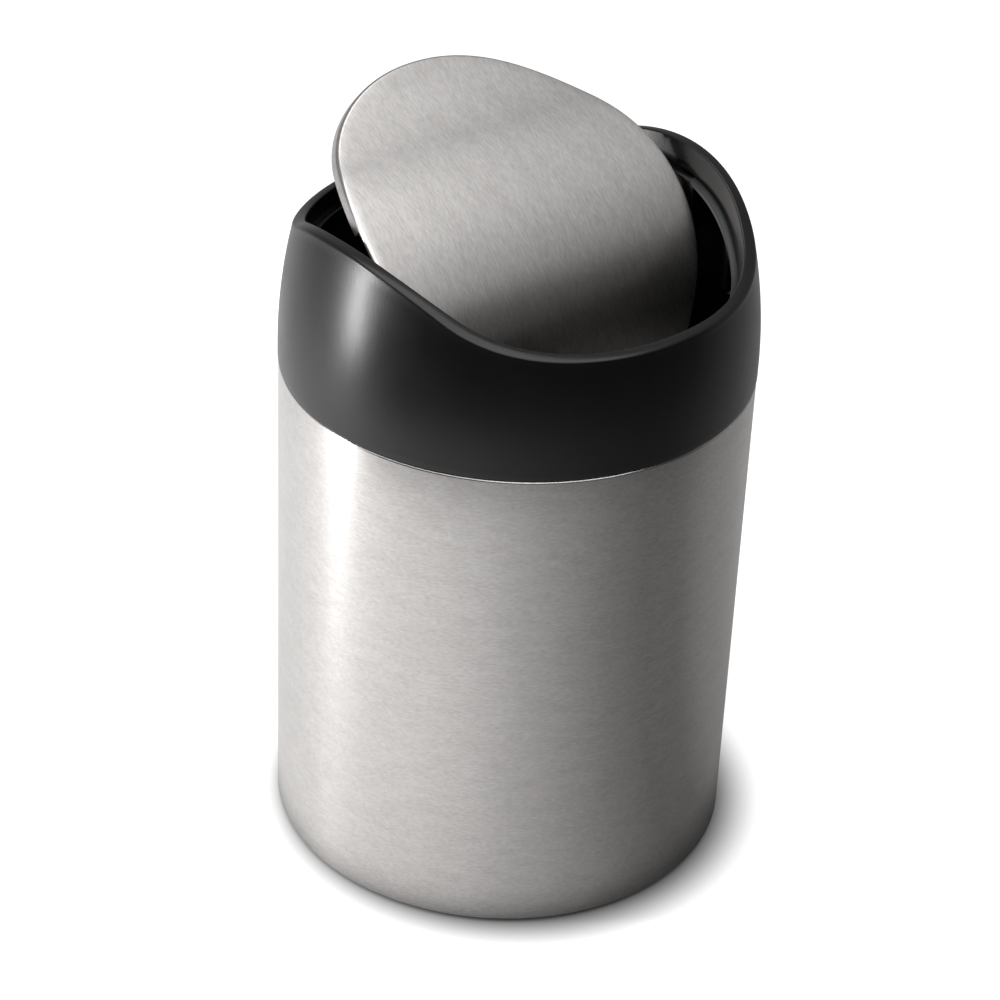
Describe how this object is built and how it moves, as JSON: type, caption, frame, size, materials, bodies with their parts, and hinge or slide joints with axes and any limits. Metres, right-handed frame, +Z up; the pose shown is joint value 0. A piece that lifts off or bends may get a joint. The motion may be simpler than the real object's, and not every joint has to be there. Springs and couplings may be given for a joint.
{
  "type": "push top countertop bin",
  "caption": "Small round countertop waste bin: brushed steel can, lift-off black collar with a curved rim, and a self-righting steel lid that swings on side pivots.",
  "frame": {"origin": "middle of the footprint, on the surface that the rubber feet stand on", "axes": "+Z up, -Y to the front (the side of the lid that is pushed down in the picture), +X to the bin's right seen from behind the front, along the lid's pivot axis"},
  "size_m": [0.1222, 0.1222, 0.2009],
  "materials": {
    "brushed_stainless": "brushed round the can and along the lid, satin",
    "pan_steel": "as rolled, dull",
    "black_moulding": "fine satin grain",
    "black_base": "plain moulded, matt",
    "foot_rubber": "matt",
    "bush_acetal": "moulded acetal, satin",
    "pin_steel": "ground",
    "weight_steel": "dull zinc plate",
    "screw_zinc": "zinc plate"
  },
  "bodies": {
    "can": {"steel_can": "brushed_stainless", "floor_pan": "pan_steel", "base_cap": "black_base", "rubber_feet": "foot_rubber"},
    "collar": {"collar_shell": "black_moulding", "lid_cradle": "black_moulding", "cradle_screws": "screw_zinc", "pivot_bush_left": "bush_acetal", "pivot_bush_right": "bush_acetal", "bearing_cap_left": "black_moulding", "bearing_cap_right": "black_moulding"},
    "lid": {"lid_panel": "brushed_stainless", "lid_frame": "black_moulding", "balance_weight": "weight_steel", "weight_screws": "screw_zinc", "pivot_pin_left": "pin_steel", "pivot_pin_right": "pin_steel"}
  },
  "joints": [
    {"name": "collar_lift", "type": "slide", "parent": "can", "child": "collar", "axis": [0, 0, 1], "range_m": [0, 0.05]},
    {"name": "lid_swing", "type": "hinge", "parent": "collar", "child": "lid", "pos_m": [0, 0, 0.171], "axis": [1, 0, 0], "range_deg": [-111.8, 28.2]}
  ]
}
